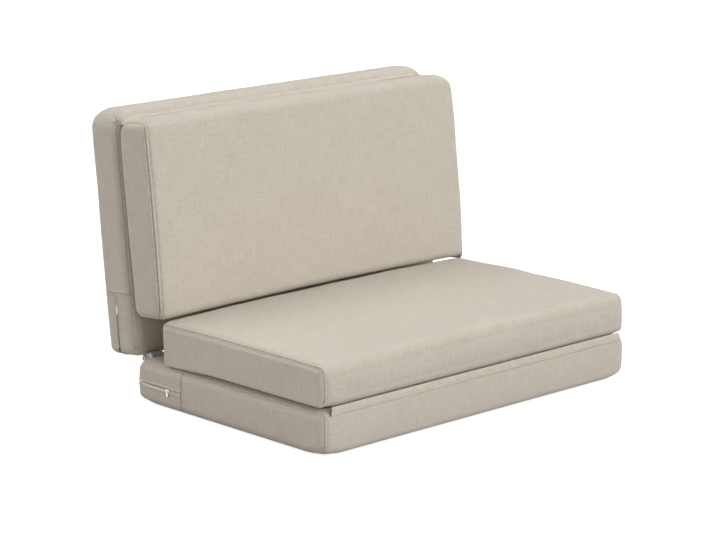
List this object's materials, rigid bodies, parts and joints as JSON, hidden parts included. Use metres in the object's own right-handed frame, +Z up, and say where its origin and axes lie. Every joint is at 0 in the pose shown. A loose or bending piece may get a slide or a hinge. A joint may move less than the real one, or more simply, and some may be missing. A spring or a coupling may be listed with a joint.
{
  "type": "folding chair bed",
  "caption": "Low armless chair bed: padded base, seat cushion, reclining back slab and back cushion, cloth covered, joined by ratchet hinges and cloth strips to unfold flat.",
  "frame": {"origin": "middle of the base's flat underside, where it stands on the floor", "axes": "+Z up, +Y towards the back rest, X across the width, with the zips' sliders on the -X side"},
  "size_m": [0.9042, 0.7228, 0.6126],
  "materials": {
    "cloth": "matte",
    "foam": "matte",
    "slat_wood": "satin",
    "zip_tape": "matte",
    "zip_coil": "satin",
    "zip_metal": "satin",
    "frame_paint": "satin",
    "bright_steel": "satin",
    "dark_paint": "satin",
    "plain_steel": "satin"
  },
  "bodies": {
    "base": {"base_cover": "cloth", "base_foam_lower": "foam", "base_foam_upper": "foam", "base_frame": "frame_paint", "base_slats": "slat_wood", "base_frame_bolts": "bright_steel", "base_zip_tape": "zip_tape", "base_zip_coil": "zip_coil", "hinge_lower_arm_left": "bright_steel", "hinge_lower_arm_right": "bright_steel", "hinge_housing_left": "dark_paint", "hinge_housing_right": "dark_paint", "housing_rivets": "bright_steel", "pawl_pin_left": "bright_steel", "pawl_pin_right": "bright_steel", "pawl_spring_left": "plain_steel", "pawl_spring_right": "plain_steel", "front_strip_lower": "cloth"},
    "back": {"back_cover": "cloth", "back_foam_front": "foam", "back_foam_rear": "foam", "back_frame": "frame_paint", "back_slats": "slat_wood", "back_frame_bolts": "bright_steel", "back_zip_tape": "zip_tape", "back_zip_coil": "zip_coil", "hinge_upper_arm_left": "plain_steel", "hinge_upper_arm_right": "plain_steel", "ratchet_disc_left": "plain_steel", "ratchet_disc_right": "plain_steel", "hinge_axle": "bright_steel", "top_strip_rear": "cloth"},
    "seat_cushion": {"seat_cushion_cover": "cloth", "seat_cushion_foam": "foam", "front_strip_upper": "cloth"},
    "back_cushion": {"back_cushion_cover": "cloth", "back_cushion_foam": "foam", "top_strip_front": "cloth"},
    "base_zip_slider": {"base_zip_slider": "zip_metal"},
    "base_zip_pull": {"base_zip_pull": "zip_metal"},
    "back_zip_slider": {"back_zip_slider": "zip_metal"},
    "back_zip_pull": {"back_zip_pull": "zip_metal"},
    "pawl_left": {"pawl_left": "plain_steel"},
    "pawl_right": {"pawl_right": "plain_steel"}
  },
  "joints": [
    {"name": "back_recline", "type": "hinge", "parent": "base", "child": "back", "pos_m": [0, 0.2899, 0.08845], "axis": [-1, 0, 0], "range_deg": [0, 84.07]},
    {"name": "seat_flip", "type": "hinge", "parent": "base", "child": "seat_cushion", "pos_m": [0, -0.295, 0.0978], "axis": [1, 0, 0], "range_deg": [0, 180]},
    {"name": "cushion_flip", "type": "hinge", "parent": "back", "child": "back_cushion", "pos_m": [0, 0.33323, 0.61137], "axis": [-1, 0, 0], "range_deg": [0, 180]},
    {"name": "base_zip_slide", "type": "slide", "parent": "base", "child": "base_zip_slider", "axis": [0, 1, 0], "range_m": [0, 0.055]},
    {"name": "base_zip_pull_swing", "type": "hinge", "parent": "base_zip_slider", "child": "base_zip_pull", "pos_m": [-0.45245, 0.182, 0.045], "axis": [0, 1, 0], "range_deg": [0, 170]},
    {"name": "back_zip_slide", "type": "slide", "parent": "back", "child": "back_zip_slider", "axis": [0, -0.1033, -0.9947], "range_m": [0, 0.055]},
    {"name": "back_zip_pull_swing", "type": "hinge", "parent": "back_zip_slider", "child": "back_zip_pull", "pos_m": [-0.45245, 0.34581, 0.20037], "axis": [0, 0.9947, -0.1033], "range_deg": [0, 170]},
    {"name": "pawl_left_lift", "type": "hinge", "parent": "base", "child": "pawl_left", "pos_m": [-0.4184, 0.27979, 0.08163], "axis": [1, 0, 0], "range_deg": [0, 12], "stiffness_Nm_per_rad": 0.005},
    {"name": "pawl_right_lift", "type": "hinge", "parent": "base", "child": "pawl_right", "pos_m": [0.4184, 0.27979, 0.08163], "axis": [1, 0, 0], "range_deg": [0, 12], "stiffness_Nm_per_rad": 0.005}
  ]
}
